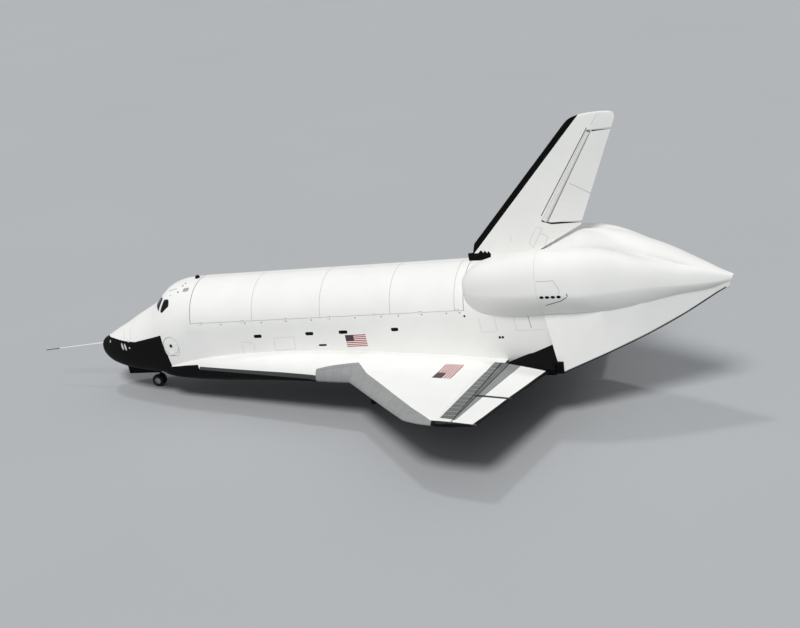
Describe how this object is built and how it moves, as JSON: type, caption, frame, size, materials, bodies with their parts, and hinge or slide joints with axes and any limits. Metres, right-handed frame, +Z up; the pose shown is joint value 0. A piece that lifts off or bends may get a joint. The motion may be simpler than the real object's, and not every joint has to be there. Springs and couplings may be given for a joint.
{
  "type": "half-scale model of a space shuttle orbiter with a tail cone",
  "caption": "Winged space shuttle orbiter with a tail cone and nose boom, standing on its landing gear, with opening payload doors, elevons, rudder and hatch.",
  "frame": {"origin": "centre of the bounding box, on the ground under the wheels", "axes": "+X aft along the ground, +Y to starboard, +Z up; the craft is pitched 3.5 degrees nose down, as it parks"},
  "size_m": [23.3664, 11.8948, 8.6272],
  "materials": {
    "white_coating": "matt white coated felt and tile skin",
    "black_coating": "matt black coated tile skin",
    "leading_edge_grey": "satin mid-grey laminate",
    "seal_panel_grey": "satin dark grey panels",
    "panel_grey": "matt dark grey console",
    "boom_paint": "satin white paint",
    "window_glass": "dark polished glass",
    "gear_metal": "satin machined metal",
    "tyre_rubber": "matt black rubber",
    "inner_structure": "primed aluminium",
    "seat_cloth": "dark woven cloth"
  },
  "bodies": {
    "airframe": {"nose_cap": "black_coating", "air_data_boom": "boom_paint", "forward_fuselage": "white_coating", "forward_thruster_module": "white_coating", "windshield_center_left": "window_glass", "windshield_center_right": "window_glass", "windshield_middle_left": "window_glass", "windshield_middle_right": "window_glass", "windshield_side_left": "window_glass", "windshield_side_right": "window_glass", "escape_panel_left": "white_coating", "escape_panel_right": "white_coating", "flight_deck_floor": "inner_structure", "instrument_panel": "panel_grey", "crew_seat_left": "seat_cloth", "crew_seat_right": "seat_cloth", "mid_fuselage": "white_coating", "aft_fuselage": "white_coating", "oms_pod_right": "white_coating", "oms_pod_left": "white_coating", "tail_cone": "white_coating", "engine_block": "inner_structure", "wing_right": "white_coating", "wing_left": "white_coating", "wing_leading_edge_right": "leading_edge_grey", "wing_leading_edge_left": "leading_edge_grey", "elevon_seal_right": "seal_panel_grey", "elevon_seal_left": "seal_panel_grey", "fin": "white_coating", "fin_leading_edge": "black_coating", "nose_gear_leg": "gear_metal", "nose_gear_door_right": "white_coating", "nose_gear_door_left": "white_coating", "main_gear_leg_right": "gear_metal", "main_gear_leg_left": "gear_metal", "main_gear_door_right": "white_coating", "main_gear_door_left": "white_coating"},
    "payload_door_left": {"payload_door_left": "white_coating"},
    "payload_door_right": {"payload_door_right": "white_coating"},
    "side_hatch": {"side_hatch": "white_coating", "hatch_window": "window_glass"},
    "elevon_inboard_left": {"elevon_inboard_left": "white_coating"},
    "elevon_inboard_right": {"elevon_inboard_right": "white_coating"},
    "elevon_outboard_left": {"elevon_outboard_left": "white_coating"},
    "elevon_outboard_right": {"elevon_outboard_right": "white_coating"},
    "rudder_shaft": {"rudder_shaft": "white_coating"},
    "rudder_panel_left": {"rudder_panel_left": "white_coating"},
    "rudder_panel_right": {"rudder_panel_right": "white_coating"},
    "nose_gear_piston": {"nose_gear_piston": "gear_metal"},
    "nose_wheels": {"nose_wheel_hubs": "gear_metal", "nose_tyre_left": "tyre_rubber", "nose_tyre_right": "tyre_rubber"},
    "main_wheels_left": {"main_wheel_hubs_left": "gear_metal", "main_tyre_inner_left": "tyre_rubber", "main_tyre_outer_left": "tyre_rubber"},
    "main_wheels_right": {"main_wheel_hubs_right": "gear_metal", "main_tyre_inner_right": "tyre_rubber", "main_tyre_outer_right": "tyre_rubber"}
  },
  "joints": [
    {"name": "payload_door_left", "type": "hinge", "parent": "airframe", "child": "payload_door_left", "pos_m": [-0.35775, -1.29413, 3.02477], "axis": [0.9981, 0, 0.061], "range_deg": [0, 175.5]},
    {"name": "payload_door_right", "type": "hinge", "parent": "airframe", "child": "payload_door_right", "pos_m": [-0.35775, 1.29413, 3.02477], "axis": [-0.9981, 0, -0.061], "range_deg": [0, 175.5]},
    {"name": "side_hatch", "type": "hinge", "parent": "airframe", "child": "side_hatch", "pos_m": [-5.8168, -1.28651, 1.68189], "axis": [0.9981, 0, 0.061], "range_deg": [0, 90]},
    {"name": "elevon_inboard_left", "type": "hinge", "parent": "airframe", "child": "elevon_inboard_left", "pos_m": [5.34276, -2.7686, 1.77212], "axis": [0.0035, 0.9984, -0.0573], "range_deg": [-35, 20]},
    {"name": "elevon_outboard_left", "type": "hinge", "parent": "airframe", "child": "elevon_outboard_left", "pos_m": [5.33527, -4.9022, 1.89457], "axis": [0.0035, 0.9984, -0.0573], "range_deg": [-35, 20]},
    {"name": "elevon_inboard_right", "type": "hinge", "parent": "airframe", "child": "elevon_inboard_right", "pos_m": [5.34276, 2.7686, 1.77212], "axis": [-0.0035, 0.9984, 0.0573], "range_deg": [-35, 20]},
    {"name": "elevon_outboard_right", "type": "hinge", "parent": "airframe", "child": "elevon_outboard_right", "pos_m": [5.33527, 4.9022, 1.89457], "axis": [-0.0035, 0.9984, 0.0573], "range_deg": [-35, 20]},
    {"name": "rudder_turn", "type": "hinge", "parent": "airframe", "child": "rudder_shaft", "pos_m": [7.26093, 0, 6.80528], "axis": [0.5176, 0, 0.8556], "range_deg": [-27.1, 27.1]},
    {"name": "speed_brake_left", "type": "hinge", "parent": "rudder_shaft", "child": "rudder_panel_left", "pos_m": [7.26093, 0, 6.80528], "axis": [-0.5176, 0, -0.8556], "range_deg": [0, 49.3]},
    {"name": "speed_brake_right", "type": "hinge", "parent": "rudder_shaft", "child": "rudder_panel_right", "pos_m": [7.26093, 0, 6.80528], "axis": [0.5176, 0, 0.8556], "range_deg": [0, 49.3]},
    {"name": "nose_steering", "type": "hinge", "parent": "airframe", "child": "nose_gear_piston", "pos_m": [-7.40619, 0, 0.437], "axis": [-0.061, 0, 0.9981], "range_deg": [-10, 10]},
    {"name": "nose_wheel_spin", "type": "hinge", "parent": "nose_gear_piston", "child": "nose_wheels", "pos_m": [-7.39189, 0, 0.2032], "axis": [0, 1, 0], "continuous": true},
    {"name": "main_wheel_spin_left", "type": "hinge", "parent": "airframe", "child": "main_wheels_left", "pos_m": [2.69826, -1.7272, 0.28258], "axis": [0, 1, 0], "continuous": true},
    {"name": "main_wheel_spin_right", "type": "hinge", "parent": "airframe", "child": "main_wheels_right", "pos_m": [2.69826, 1.7272, 0.28258], "axis": [0, 1, 0], "continuous": true}
  ],
  "couplings": [
    {"joint": "speed_brake_right", "follows": "speed_brake_left", "ratio": 1}
  ]
}
